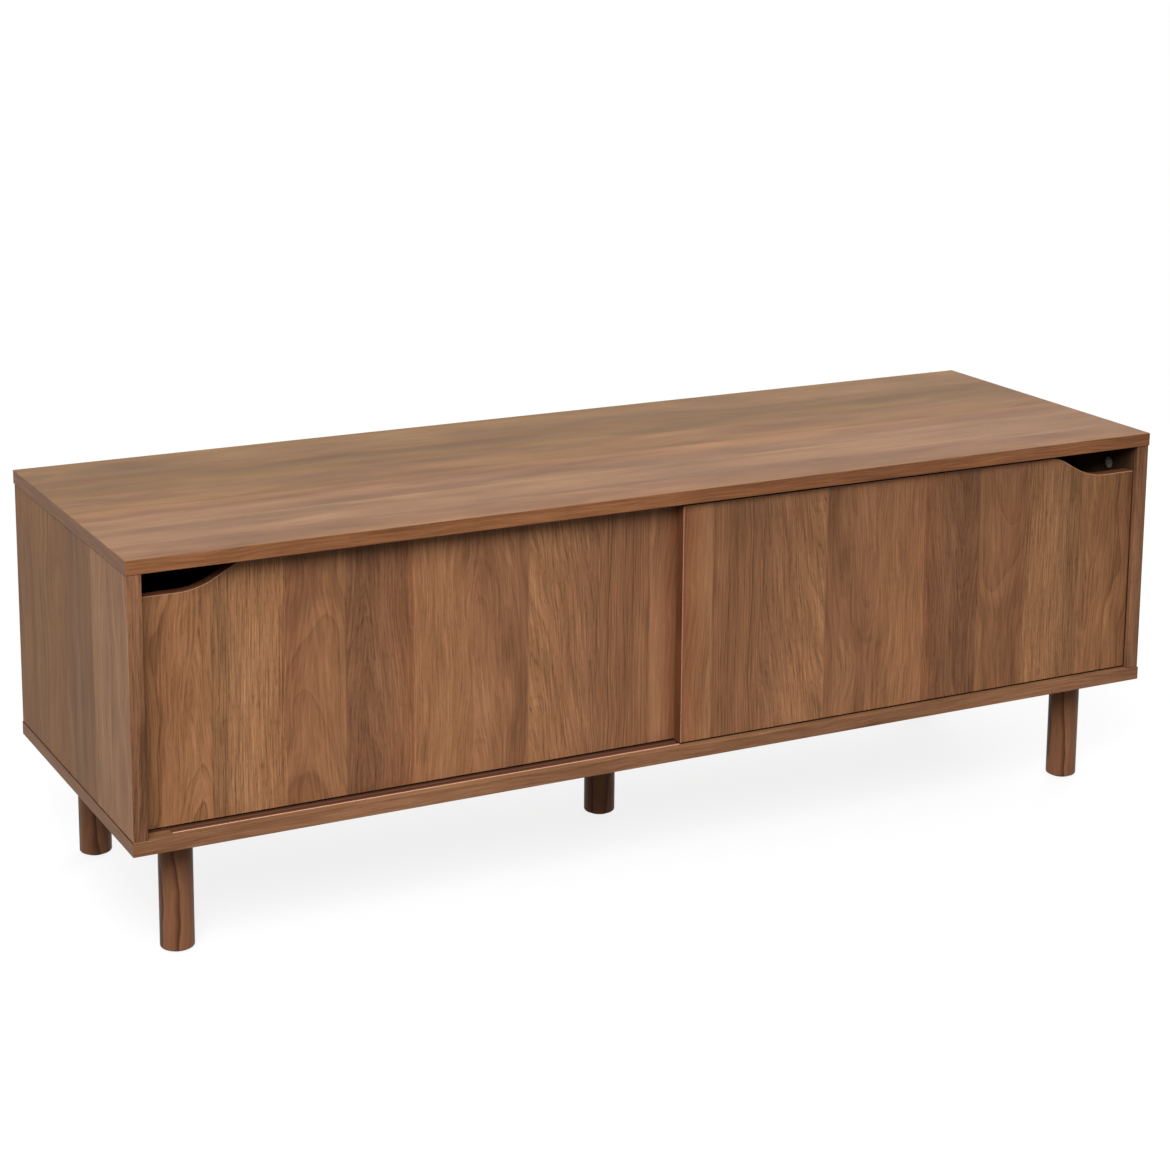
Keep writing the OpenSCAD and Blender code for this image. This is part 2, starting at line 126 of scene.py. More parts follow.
def walnut_foil(name, staves, across, along, start, roughness=0.5, streak=13, hairs=1.0,
                clouds=0.5, gloss=0.12):
    """Melamine foil with a walnut print: satin, with the print's pores pressed in as fine grooves.

    across and along are directions on the piece: across the staves, and up their grain. start is
    the place of the first stave's lower left corner. streak is the width of its dark and light
    streaks in millimetres, and hairs and clouds are how strong its hairlines and clouds are.
    gloss is the strength of its reflections.
    """
    material, tree, output = new_material(name)
    across, along = Vector(across).normalized(), Vector(along).normalized()
    turn = Matrix((across, along.cross(across), along))
    total = sum(s.width for s in staves)
    starts = [sum(s.width for s in staves[:i]) for i in range(len(staves))]

    # Object coordinates, turned into the print's own and given in millimetres.
    here = add(tree, "ShaderNodeTexCoord").outputs["Object"]
    turned = add(tree, "ShaderNodeMapping", {"Vector": here, "Rotation": turn.to_euler("XYZ"),
                                             "Location": -(turn @ Vector(start))})
    print_mm = add(tree, "ShaderNodeVectorMath", {0: turned, "Scale": 1 / MM},
                   operation="SCALE")
    # From here on, across and along are the place in the print.
    split = add(tree, "ShaderNodeSeparateXYZ", {0: print_mm})
    across, along = split.outputs["X"], split.outputs["Z"]
    place = add(tree, "ShaderNodeMath", {0: across, 1: total}, operation="DIVIDE")

    # Ramps say what each stave is like. Nothing blends over a seam, so the seams are sharp.
    tones = []
    for a, stave in zip(starts, staves):
        left, middle, right = stave.tones
        tones += [((a + SEAM) / total, left), ((a + stave.width / 2) / total, middle),
                  ((a + stave.width - SEAM) / total, right)]
    tone = add(tree, "ShaderNodeValToRGB", {"Fac": place}, stops=tones)

    def by_stave(*facts):
        """Each stave's number for up to four facts, which are (numbers, least, most).

        A ramp holds them as the parts of its colours, so they are packed into 0 to 1.
        """
        packed = [[(number - least) / (most - least) for number in numbers]
                  for numbers, least, most in facts]
        packed += [[1.0] * len(staves)] * (4 - len(facts))
        ramp = add(tree, "ShaderNodeValToRGB", {"Fac": place},
                   stops=[(a / total, parts) for a, parts in zip(starts, zip(*packed))])
        ramp.color_ramp.interpolation = "CONSTANT"
        parts = [*add(tree, "ShaderNodeSeparateColor", {0: ramp}).outputs, ramp.outputs["Alpha"]]
        return [add(tree, "ShaderNodeMath", {0: part, 1: most - least, 2: least},
                    operation="MULTIPLY_ADD")
                for part, (numbers, least, most) in zip(parts, facts)]

    heart, depth, slope, seed = by_stave(
        ([a + s.heart for a, s in zip(starts, staves)], -1000, 2000),
        ([s.depth for s in staves], 0, 200),
        ([s.slope for s in staves], -0.5, 0.5),
        ([10 * (i + 1) for i in range(len(staves))], 0, 160))
    ring_gap, lines, pores, sway = by_stave(
        ([s.ring for s in staves], 0, 20), ([s.lines for s in staves], 0, 1),
        ([s.pores for s in staves], 0, 1), ([s.sway for s in staves], 0, 100))
    strength, = by_stave(([s.figure for s in staves], 0, 1))

    def streaks(width, length, x, detail=2.0, offset=0.0):
        """Noise drawn out along the grain, about 0. Width and length are of one streak."""
        x = add(tree, "ShaderNodeMath", {0: x, 1: 1 / width}, operation="MULTIPLY")
        z = add(tree, "ShaderNodeMath", {0: along, 1: 1 / length}, operation="MULTIPLY")
        y = add(tree, "ShaderNodeMath", {0: seed, 1: offset}, operation="ADD")
        at = add(tree, "ShaderNodeCombineXYZ", {0: x, 1: y, 2: z})
        noise = add(tree, "ShaderNodeTexNoise", {"Vector": at, "Scale": 1.0, "Detail": detail,
                                                 "Roughness": 0.6})
        return add(tree, "ShaderNodeMath", {0: noise, 1: 0.5}, operation="SUBTRACT")

    # Growth rings: the distance to the rings' middle, which wanders with the tree in wide bends
    # and in small ones, sideways and in depth.
    sideways = add(tree, "ShaderNodeMath", {0: across, 1: heart}, operation="SUBTRACT")
    for width, length, share, offset in ((80, 230, 2.5, 250.0), (30, 80, 0.45, 45.0)):
        bend = add(tree, "ShaderNodeMath",
                   {0: streaks(width, length, across, 1.0, offset), 1: sway},
                   operation="MULTIPLY")
        sideways = add(tree, "ShaderNodeMath", {0: bend, 1: share, 2: sideways},
                       operation="MULTIPLY_ADD")
    rise = add(tree, "ShaderNodeMath", {0: along, 1: slope, 2: depth}, operation="MULTIPLY_ADD")
    behind = add(tree, "ShaderNodeMath", {0: streaks(90, 160, across, 1.0, 7.0), 1: 40.0, 2: rise},
                 operation="MULTIPLY_ADD")
    squares = add(tree, "ShaderNodeMath", {0: behind, 1: behind}, operation="MULTIPLY")
    squares = add(tree, "ShaderNodeMath", {0: sideways, 1: sideways, 2: squares},
                  operation="MULTIPLY_ADD")
    radius = add(tree, "ShaderNodeMath", {0: squares}, operation="SQRT")

    # Each ring is pale wood that ends in a thin dark line; some lines are darker than others.
    ring = add(tree, "ShaderNodeMath", {0: radius, 1: ring_gap}, operation="DIVIDE")
    uneven = add(tree, "ShaderNodeTexNoise", {"W": ring, "Scale": 0.7, "Detail": 1.0},
                 noise_dimensions="1D")
    ring = add(tree, "ShaderNodeMath", {0: uneven, 1: 1.6, 2: ring}, operation="MULTIPLY_ADD")
    within = add(tree, "ShaderNodeMath", {0: ring}, operation="FRACT")
    line = add(tree, "ShaderNodeValToRGB", {"Fac": within},
               stops=[(0.0, grey(0)), (0.45, grey(0.12)), (0.86, grey(0.7)), (0.93, grey(1)),
                      (1.0, grey(0))])
    darker = add(tree, "ShaderNodeTexNoise", {"W": ring, "Scale": 0.9, "Detail": 0.0},
                 noise_dimensions="1D")
    line = add(tree, "ShaderNodeMath", {0: line, 1: darker}, operation="MULTIPLY")
    line = add(tree, "ShaderNodeMath", {0: line, 1: lines}, operation="MULTIPLY")

    # Streaks follow the rings, and hairlines run up between them. Pores are dashes, which are
    # drawn three times as wide as the real ones, because those are too fine to show.
    figure = add(tree, "ShaderNodeMath", {0: streaks(streak, 400, radius, 3.0, 11.0),
                                          1: strength}, operation="MULTIPLY")
    hair_share = add(tree, "ShaderNodeMath", {0: pores, 1: 1.1 * hairs, 2: 0.75 * hairs},
                     operation="MULTIPLY_ADD")
    side = add(tree, "ShaderNodeMath", {0: sideways}, operation="SIGN")
    strand = add(tree, "ShaderNodeMath", {0: side, 1: radius, 2: across},
                 operation="MULTIPLY_ADD")
    hair = add(tree, "ShaderNodeMath", {0: streaks(3.4, 60, strand, 2.0, 13.0), 1: hair_share},
               operation="MULTIPLY")
    dash = add(tree, "ShaderNodeMath", {0: streaks(2.2, 12, strand, 1.0, 17.0), 1: 0.5},
               operation="ADD")
    pore = add(tree, "ShaderNodeValToRGB", {"Fac": dash},
               stops=[(0.3, grey(1)), (0.48, grey(0))])
    pore = add(tree, "ShaderNodeMath", {0: pore, 1: pores}, operation="MULTIPLY")
    smoke = streaks(40, 220, across, 2.0, 19.0)

    # All of these make the stave's tone lighter and sandier, or darker and greyer.
    light = 0.54
    for mark, share in ((figure, 2.0), (hair, 1.0), (line, -0.75), (pore, -0.35),
                        (smoke, clouds)):
        light = add(tree, "ShaderNodeMath", {0: mark, 1: share, 2: light},
                    operation="MULTIPLY_ADD")
    shade = add(tree, "ShaderNodeValToRGB", {"Fac": light},
                stops=[(0.0, (0.225, 0.212, 0.2, 1.0)), (0.5, grey(0.5)),
                       (1.0, (0.80, 0.86, 0.90, 1.0))])
    colour = add(tree, "ShaderNodeVectorMath", {0: tone, 1: shade}, operation="MULTIPLY")
    colour = add(tree, "ShaderNodeVectorMath", {0: colour, "Scale": 2.0}, operation="SCALE")

    groove = add(tree, "ShaderNodeMath", {0: pore, 1: -1.0}, operation="MULTIPLY")
    relief = add(tree, "ShaderNodeBump", {"Height": groove, "Strength": 0.12,
                                          "Distance": 0.3 * MM})
    matt = add(tree, "ShaderNodeMath", {0: light, 1: 0.1, 2: roughness - 0.05},
               operation="MULTIPLY_ADD")
    surface = add(tree, "ShaderNodeBsdfPrincipled",
                  {"Base Color": colour, "Roughness": matt, "Normal": relief,
                   "Specular IOR Level": gloss})
    tree.links.new(surface.outputs[0], output.inputs["Surface"])
    return material


def edge_band(name, along, tone, **grain):
    """Edge band: the same print in one tone, as one stave that starts and ends past the cabinet.

    Its grain runs along the edge.
    """
    across = Vector((1, 1, 1)) - Vector(along)
    stave = Stave(4000, " ".join([tone] * 3), heart=-900, depth=0, slope=0.0, sway=10, **grain)
    return walnut_foil(name, [stave], across, along, across * -1.4, roughness=0.52)


def chipboard():
    """Particle board, sawn or drilled: pale chips of wood pressed together, dull and rough."""
    material, tree, output = new_material("particle_board_raw")
    here = add(tree, "ShaderNodeTexCoord").outputs["Object"]
    # The chips are 1.5 mm across.
    chips = add(tree, "ShaderNodeTexVoronoi", {"Vector": here, "Scale": 1 / (1.5 * MM)})
    tint = add(tree, "ShaderNodeValToRGB", {"Fac": chips.outputs["Distance"]},
               stops=[(0.0, linear("#c9a578")), (0.6, linear("#a98457")),
                      (1.0, linear("#7d5c3a"))])
    relief = add(tree, "ShaderNodeBump", {"Height": chips.outputs["Distance"], "Strength": 0.4,
                                          "Distance": 0.3 * MM})
    surface = add(tree, "ShaderNodeBsdfPrincipled",
                  {"Base Color": tint, "Roughness": 0.9, "Normal": relief})
    tree.links.new(surface.outputs[0], output.inputs["Surface"])
    return material


def bare_corner(name, colour):
    """One plain colour: a band's rounded corner, where the file takes the print off.

    The dark ones are painted shade, and the doors' pale one is also a painted highlight. The foil
    between the tracks is as plain as that: dust, with painted shade from the doors over it.
    """
    material, tree, output = new_material(name)
    here = add(tree, "ShaderNodeTexCoord").outputs["Object"]
    # The marks in it are about 3 mm wide.
    marks = add(tree, "ShaderNodeTexNoise", {"Vector": here, "Scale": 300.0, "Detail": 3.0})
    tint = add(tree, "ShaderNodeValToRGB", {"Fac": marks},
               stops=[(0.3, linear(colour, 0.85)), (0.7, linear(colour))])
    surface = add(tree, "ShaderNodeBsdfPrincipled",
                  {"Base Color": tint, "Roughness": 0.6, "Specular IOR Level": 0.03})
    tree.links.new(surface.outputs[0], output.inputs["Surface"])
    return material


# Which of a board's materials a face gets: foil on the wide faces, bands by the way their grain
# runs, and the raw board in bores and grooves. The bottom board's front band is a little greyer,
# and the doors' a little redder. Where two boards meet, the rounded corners are painted dark, as
# shade in the crease. The foil between the two tracks is darker, for dust and painted shade under
# the doors, and the side boards' inner faces carry painted shade near the doors.
(FOIL, BAND_X, BAND_Y, BAND_Z, BAND_LOW, BAND_DOOR, CORNER_DOOR, CORNER_PAINTED_SHADE, DUST_AND_SHADE, RAW,
 INNER) = range(11)
bands_and_raw = [
    edge_band("edge_band_along_x", ALONG_X, "#784d31", ring=3.2, lines=0.3, pores=0.25,
              figure=0.6),
    edge_band("edge_band_along_y", ALONG_Y, "#7e583c", ring=3.2, lines=0.3, pores=0.2,
              figure=0.5),
    edge_band("edge_band_along_z", ALONG_Z, "#744f37", ring=3.0, lines=0.8, pores=0.5,
              figure=0.9),
    edge_band("edge_band_of_bottom_board", ALONG_X, "#7c553b", ring=3.2, lines=0.4, pores=0.3,
              figure=0.7),
    edge_band("edge_band_of_doors", ALONG_Z, "#663d27", ring=3.0, lines=0.2, pores=0.2,
              figure=0.3),
    # The doors' pale corner is worn and a painted highlight; the next two are painted shade.
    bare_corner("edge_band_corner_of_doors", "#a67d62"),
    bare_corner("edge_band_corner_in_painted_shade", "#36180e"),
    bare_corner("melamine_foil_dust_and_painted_shade", "#4c3022"),
    chipboard(),
]


def grade(material, axis, low, high, shades, strength=1.0):
    """Paints shade on a foil along an axis: shades are (share of the way from low to high, shade).
    """
    tree = material.node_tree
    surface = next(n for n in tree.nodes if n.type == "BSDF_PRINCIPLED")
    here = add(tree, "ShaderNodeTexCoord").outputs["Object"]
    place = add(tree, "ShaderNodeSeparateXYZ", {"Vector": here}).outputs[axis]
    share = add(tree, "ShaderNodeMapRange", {"Value": place, "From Min": low, "From Max": high})
    shade = add(tree, "ShaderNodeValToRGB", {"Fac": share},
                stops=[(at, grey(level)) for at, level in shades])
    shade = add(tree, "ShaderNodeMath", {0: shade, 1: strength}, operation="MULTIPLY")
    clean = surface.inputs["Base Color"].links[0].from_socket
    tint = add(tree, "ShaderNodeVectorMath", {0: clean, "Scale": shade}, operation="SCALE")
    tree.links.new(tint.outputs[0], surface.inputs["Base Color"])


def solid_copy(node):
    """A copy of a CAD board, with its triangles merged into whole faces."""
    shape = bmesh.new()
    shape.from_mesh(nodes[node].data)
    bmesh.ops.remove_doubles(shape, verts=shape.verts, dist=0.001 * MM)
    bmesh.ops.dissolve_limit(shape, angle_limit=math.radians(0.5), verts=shape.verts,
                             edges=shape.edges)
    return shape


def faced_board(node, body, shape, edges, finish_of, foil, inner_foil=None):
    """Rounds a board's outer edges, gives each face its finish, and replaces the CAD board."""
    bmesh.ops.bevel(shape, geom=edges, offset=ARRIS, segments=3, profile=0.5, affect="EDGES",
                    clamp_overlap=True)
    shape.normal_update()
    for face in shape.faces:
        face.material_index = finish_of(face)
    bmesh.ops.triangulate(shape, faces=[f for f in shape.faces if len(f.verts) > 4])
    mesh = bpy.data.meshes.new(node + "_faced")
    shape.to_mesh(mesh)
    shape.free()
    for material in [foil, *bands_and_raw, inner_foil or foil]:
        mesh.materials.append(material)
    piece = bpy.data.objects.new(node + "_faced", mesh)
    bpy.context.scene.collection.objects.link(piece)
    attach(piece, body)
    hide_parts(node)


FACES_X, FACES_Y, FACES_Z = range(3)


def plain_board(node, flat_axis, foil, inner_foil=None):
    """A rectangular board: foil on its two wide faces, band on its edges, raw in its bores."""
    low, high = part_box(node)
    shape = solid_copy(node)
    between_tracks = [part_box("front_lower_track")[1].y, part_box("rear_lower_track")[0].y]
    before_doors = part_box("right_door_panel")[0].y
    is_side_board = node.endswith("side_board")
    finish_changes = [before_doors] if is_side_board else []
    if node == "bottom_board":
        finish_changes = between_tracks
    for y in finish_changes:
        bmesh.ops.bisect_plane(shape, geom=[*shape.verts, *shape.edges, *shape.faces],
                               plane_co=(0, y, 0), plane_no=ALONG_Y)

    def on_outside(point, axis):
        return min(abs(point[axis] - low[axis]), abs(point[axis] - high[axis])) < ARRIS

    def at_corner(edge):
        a, b = (v.co for v in edge.verts)
        return sum(on_outside(a, i) and abs(a[i] - b[i]) < ARRIS for i in range(3)) == 2

    def finish_of(face):
        middle = face.calc_center_median()
        facing = max(range(3), key=lambda i: abs(face.normal[i]))
        if not on_outside(middle, facing):
            return RAW
        is_rounded = 0.1 < abs(face.normal.z) < 0.99
        meets_side_board = (node == "bottom_board" and middle.z > low.z + ARRIS
                            and on_outside(middle, 0))
        # Rounded corners where two boards meet are painted dark: painted shade in the crease.
        if is_rounded and (flat_axis == FACES_X or meets_side_board):
            return CORNER_PAINTED_SHADE
        # Between the tracks the foil is darker: dust, and painted shade under the doors.
        if (node == "bottom_board" and face.normal.z > 0.99
                and between_tracks[0] < middle.y < between_tracks[1]):
            return DUST_AND_SHADE
        # The side boards' inner faces take the darker front band as far as the doors, as painted
        # shade.
        if is_side_board and facing == FACES_X and face.normal.x * middle.x < 0:
            return BAND_Z if middle.y < before_doors else INNER
        if facing == flat_axis:
            return FOIL
        if node == "bottom_board" and facing == FACES_Y:
            return BAND_LOW
        # The grain of an edge runs along the one axis that neither the edge nor the foil faces.
        return BAND_X + FACES_X + FACES_Y + FACES_Z - facing - flat_axis

    faced_board(node, "cabinet", shape, [e for e in shape.edges if at_corner(e)],
                finish_of, foil, inner_foil)


# The staves of the top, bottom and shelves run along them, and are counted from the back edge.
top_low, top_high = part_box("top_board")
lengthwise_foil = walnut_foil("melamine_foil_walnut_lengthwise", [
    Stave(84, "#795835 #745537 #725337", 40, 60, 0.02, 26, 9, 0.1, 0.2, 0.4),
    Stave(84, "#6e4e2f #6a4d30 #735331", 300, 40, 0.02, 20, 6, 0.08, 0.2, 0.4),
    Stave(76, "#735337 #775437 #785735", 30, 20, 0.015, 26, 8, 0.12, 0.2, 0.45),
    Stave(76, "#80583a #7c593f #78573f", -200, 50, 0.02, 20, 7, 0.1, 0.25, 0.45),
    Stave(72, "#836144 #825f44 #7e5d44", 500, 20, 0.02, 20, 5, 0.1, 0.3, 0.45),
    Stave(90, "#7a573e #7d593e #805d3d", 40, 30, 0.02, 26, 8, 0.12, 0.2, 0.45),
], (0, -1, 0), ALONG_X, (top_low.x, top_high.y, 0), streak=26, hairs=0.6, clouds=0.9)

# The staves of the side and middle boards stand upright, counted from the back edge too. The
# front ones are lighter: partly print, partly painted light where the lamp falls more on the
# front.
upright_foil = walnut_foil("melamine_foil_walnut_upright", [
    Stave(72, "#876041 #896243 #855f41", 30, 30, 0.03, 26, 8, 0.25, 0.2, 0.5),
    Stave(95, "#896342 #8a6443 #886040", 200, 30, 0.03, 20, 6, 0.2, 0.3, 0.5),
    Stave(66, "#896241 #866041 #825c40", 20, 15, 0.05, 26, 8, 0.25, 0.2, 0.5),
    Stave(84, "#7e5c44 #825f44 #886245", -100, 30, 0.03, 20, 7, 0.25, 0.2, 0.5),
    Stave(62, "#9d7555 #9c7556 #987154", 160, 30, 0.03, 20, 6, 0.2, 0.3, 0.5),
    Stave(90, "#946d51 #946d51 #916950", 40, 30, 0.03, 26, 8, 0.25, 0.2, 0.5),
], (0, -1, 0), ALONG_Z, (0, top_high.y, 0), gloss=0.04)

for name in ("top_board", "bottom_board", "left_shelf", "right_shelf"):
    plain_board(name, FACES_Z, lengthwise_foil)
plain_board("middle_board", FACES_X, upright_foil)

# On the side boards' inner faces the foil carries painted shade near the doors, fading out this
# far back.
INNER_SHADE_END_Y = -100 * MM
inner_foil = upright_foil.copy()
inner_foil.name = "melamine_foil_walnut_inside_painted_shade"
grade(inner_foil, "Y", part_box("right_door_panel")[0].y, INNER_SHADE_END_Y,
      [(0.45, 0.2), (1.0, 1.0)])
for name in ("left_side_board", "right_side_board"):
    plain_board(name, FACES_X, upright_foil, inner_foil)


# ---- Doors -----------------------------------------------------------------------------------
# The doors are 16 mm board under the same foil. Both are cut from one print, and the right one is
# turned upside down, so its staves run in the opposite order. Band follows each whole outline.

DOOR_STAVES = [
    Stave(82.5, "#785034 #8b5f3f #8f6343", 62, 10, 0.12, 34, 14, 0.75, 0.4, 0.4),
    Stave(89, "#765236 #906545 #8b6040", -250, 10, 0, 6, 3, 0.45, 0.8, 0.5),
    Stave(73.5, "#7c5238 #855b3e #82593c", 30, 60, 0.1, 18, 9, 0.5, 0.25, 0.35),
    Stave(85, "#6c4831 #724d35 #7d5237", 18, 30, 0.08, 22, 8, 0.35, 0.6, 0.35),
    Stave(74, "#906243 #8c6142 #83593c", 90, 30, 0.06, 18, 8, 0.25, 0.4, 0.25),
    Stave(73.5, "#875c40 #82593d #795238", 10, 30, 0.09, 26, 8, 0.35, 0.3, 0.35),
    Stave(93.5, "#916646 #8b6042 #7d563c", -25, 40, 0.22, 20, 6, 0.35, 0.6, 0.45),
    Stave(71, "#855b3f #7e563b #7e553a", -300, 10, 0, 10, 5, 0.8, 0.3, 0.4),
    Stave(60, "#956949 #815438 #6d432e", 60, 20, 0.03, 14, 7, 0.2, 0.2, 0.35),
]
# The left door's last stave is darker towards its right: painted shade beside the right door.
LEFT_DOOR_STAVES = [*DOOR_STAVES[:-1],
                    Stave(60, "#94684a #744a31 #4f2f20", 60, 20, 0.03, 14, 7, 0.2, 0.2, 0.35)]

# Each door's foil carries painted shade towards its top, under the board over it, and the front
# door's more so. Shares are of the door's height, and the strength lifts the whole foil a little
# to make up for it.
DOOR_SHADES = {"left": [(0.25, 1.0), (0.5, 0.96), (0.75, 0.9), (0.92, 0.9)],
               "right": [(0.25, 1.0), (0.5, 0.91), (0.75, 0.87), (0.92, 0.77)]}
DOOR_SHADES_STRENGTH = 1.06


def door(side, staves, outward, across, along, start):
    """A door: foil on both faces, band round its outline, raw in the glides' pockets.

    outward is the direction of its outer edge, -1 or 1 along X. The rounded corners of that edge
    and of the lower one carry painted shade, and the others are rubbed pale by hands and carry a
    painted highlight.
    """
    node = side + "_door_panel"
    low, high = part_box(node)
    shape = solid_copy(node)
    foil = walnut_foil("melamine_foil_walnut_" + side + "_door", staves, across, along, start,
                       clouds=0.65)
    # The door's painted shade, darker towards its top.
    grade(foil, "Z", low.z, high.z, DOOR_SHADES[side], DOOR_SHADES_STRENGTH)

    def from_face(point):
        return min(point.y - low.y, high.y - point.y)

    def at_rim(edge):
        return (all(from_face(v.co) < ARRIS for v in edge.verts)
                and sorted(abs(f.normal.y) > 0.99 for f in edge.link_faces) == [False, True])

    def finish_of(face):
        if min(from_face(v.co) for v in face.verts) > 2 * ARRIS:
            return RAW
        if abs(face.normal.y) > 0.99:
            return FOIL if from_face(face.calc_center_median()) < ARRIS else RAW
        if abs(face.normal.y) < 0.05:
            return BAND_DOOR
        # The outer and lower corners carry painted shade; the others are worn pale with a painted
        # highlight.
        painted_shade = face.normal.z < -0.1 or face.normal.x * outward > 0.1 and face.normal.z < 0.1
        return CORNER_PAINTED_SHADE if painted_shade else CORNER_DOOR

    faced_board(node, side + "_door", shape,
                [e for e in shape.edges if at_rim(e)], finish_of, foil)


left_door_low, left_door_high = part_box("left_door_panel")
right_door_low, right_door_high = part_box("right_door_panel")
PRINT_OFFSET = 54 * MM  # the right door was cut this much further along the print
door("left", LEFT_DOOR_STAVES, -1, ALONG_X, ALONG_Z, (left_door_low.x, 0, left_door_low.z))
door("right", DOOR_STAVES, 1, (-1, 0, 0), (0, 0, -1),
     (right_door_high.x, 0, right_door_high.z + PRINT_OFFSET))


# ---- Back panels -----------------------------------------------------------------------------
# Two sheets of 3 mm hardboard, pressed from brown fibres. They slide into grooves in the boards
# and are screwed to the middle board, and each has a round hole for cables.

def hardboard():
    """Hardboard: dull brown, mottled by its fibres, with the mesh of the press's screen in it."""
    material, tree, output = new_material("hardboard_pressed")
    here = add(tree, "ShaderNodeTexCoord").outputs["Object"]
    # The bundles of fibres are 2.5 mm long, and the screen's mesh is 1.6 mm.
    fibres = add(tree, "ShaderNodeTexNoise", {"Vector": here, "Scale": 1 / (2.5 * MM),
                                              "Detail": 6.0})
    tint = add(tree, "ShaderNodeValToRGB", {"Fac": fibres},
               stops=[(0.3, linear("#5c4231")), (0.7, linear("#7a5a43"))])
    screen = add(tree, "ShaderNodeTexVoronoi", {"Vector": here, "Scale": 1 / (1.6 * MM),
                                                "Randomness": 0.15})
    relief = add(tree, "ShaderNodeBump", {"Height": screen.outputs["Distance"], "Strength": 0.3,
                                          "Distance": 0.2 * MM})
    surface = add(tree, "ShaderNodeBsdfPrincipled",
                  {"Base Color": tint, "Roughness": 0.75, "Normal": relief})
    tree.links.new(surface.outputs[0], output.inputs["Surface"])
    return material


def finish(material, *names):
    """Gives CAD nodes their material."""
    for name in names:
        nodes[name].data.materials.clear()
        nodes[name].data.materials.append(material)


finish(hardboard(), "left_back_panel", "right_back_panel")


# ---- Tracks, glides and guides ----------------------------------------------------------------
# Each track is a strip of brown ABS, extruded with a slot between two lips and pressed into its
# groove. The doors' glides and guides are moulded from dark acetal, and a fin of each runs in a
# slot.

def extruded_abs():
    """Extruded ABS: half matt, with fine lines along it from the die.

    It is painted dark where the doors cover it, as their shade, and the front lip's edge is
    painted pale where it lies open: rubbed, and a painted highlight.
    """
    material, tree, output = new_material("abs_extruded_brown")
    here = add(tree, "ShaderNodeTexCoord").outputs["Object"]
    # The die's lines are about 0.7 mm apart and half a metre long.
    drawn = add(tree, "ShaderNodeVectorMath", {0: here, 1: (2.0, 1500.0, 1500.0)},
                operation="MULTIPLY")
    lines = add(tree, "ShaderNodeTexNoise", {"Vector": drawn, "Scale": 1.0, "Detail": 2.0})
    tint = add(tree, "ShaderNodeValToRGB", {"Fac": lines},
               stops=[(0.3, linear("#4f2f20")), (0.7, linear("#67422f"))])
    # Painted shade where the doors cover the tracks.
    painted_shade = add(tree, "ShaderNodeValToRGB", {"Fac": lines},
                stops=[(0.3, linear("#1c100a")), (0.7, linear("#2c1a12"))])
    split = add(tree, "ShaderNodeSeparateXYZ", {0: here})
    front_low, front_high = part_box("front_lower_track")
    is_front_track = add(tree, "ShaderNodeMath",
                         {0: split.outputs["Y"], 1: front_high.y + 1 * MM}, operation="LESS_THAN")
    beside_door = add(tree, "ShaderNodeMath", {0: split.outputs["X"], 1: right_door_low.x},
                      operation="LESS_THAN")
    in_open = add(tree, "ShaderNodeMath", {0: beside_door, 1: is_front_track},
                  operation="MULTIPLY")
    tint = add(tree, "ShaderNodeMix", {0: in_open, 6: painted_shade, 7: tint}, data_type="RGBA")
    # The open front lip's edge: rubbed pale, and a painted highlight.
    at_edge = add(tree, "ShaderNodeMath", {0: split.outputs["Y"], 1: front_low.y + 0.4 * MM},
                  operation="LESS_THAN")
    rubbed_and_highlit = add(tree, "ShaderNodeMath", {0: at_edge, 1: in_open}, operation="MULTIPLY")
    tint = add(tree, "ShaderNodeMix", {0: rubbed_and_highlit, 6: tint.outputs[2], 7: linear("#d8a890")},
               data_type="RGBA")
    relief = add(tree, "ShaderNodeBump", {"Height": lines, "Strength": 0.2, "Distance": 0.1 * MM})
    surface = add(tree, "ShaderNodeBsdfPrincipled",
                  {"Base Color": tint.outputs[2], "Roughness": 0.4, "Normal": relief})
    tree.links.new(surface.outputs[0], output.inputs["Surface"])
    return material


def moulded_acetal():
    """Moulded acetal: dark, half gloss, with the fine texture of a sparked mould."""
    material, tree, output = new_material("acetal_moulded_dark_brown")
    here = add(tree, "ShaderNodeTexCoord").outputs["Object"]
    # The sparks left pits 0.3 mm wide, and the colour clouds over about 8 mm.
    texture = add(tree, "ShaderNodeTexNoise", {"Vector": here, "Scale": 1 / (0.3 * MM),
                                               "Detail": 2.0})
    cloud = add(tree, "ShaderNodeTexNoise", {"Vector": here, "Scale": 120.0, "Detail": 2.0})
    tint = add(tree, "ShaderNodeValToRGB", {"Fac": cloud},
               stops=[(0.3, linear("#3b2a22", 0.75)), (0.7, linear("#3b2a22"))])
    relief = add(tree, "ShaderNodeBump", {"Height": texture, "Strength": 0.25,
                                          "Distance": 0.1 * MM})
    surface = add(tree, "ShaderNodeBsdfPrincipled",
                  {"Base Color": tint, "Roughness": 0.35, "Normal": relief})
    tree.links.new(surface.outputs[0], output.inputs["Surface"])
    return material


finish(extruded_abs(),
       "front_lower_track", "rear_lower_track", "front_upper_track", "rear_upper_track")
finish(moulded_acetal(),
       "left_door_glides", "left_door_guides", "right_door_glides", "right_door_guides")


# ---- Legs ------------------------------------------------------------------------------------
# The five legs are turned from solid hardwood, with a softened lower edge, then stained to match
# the foil and lacquered. A threaded rod in each one's top screws into a socket in the box.

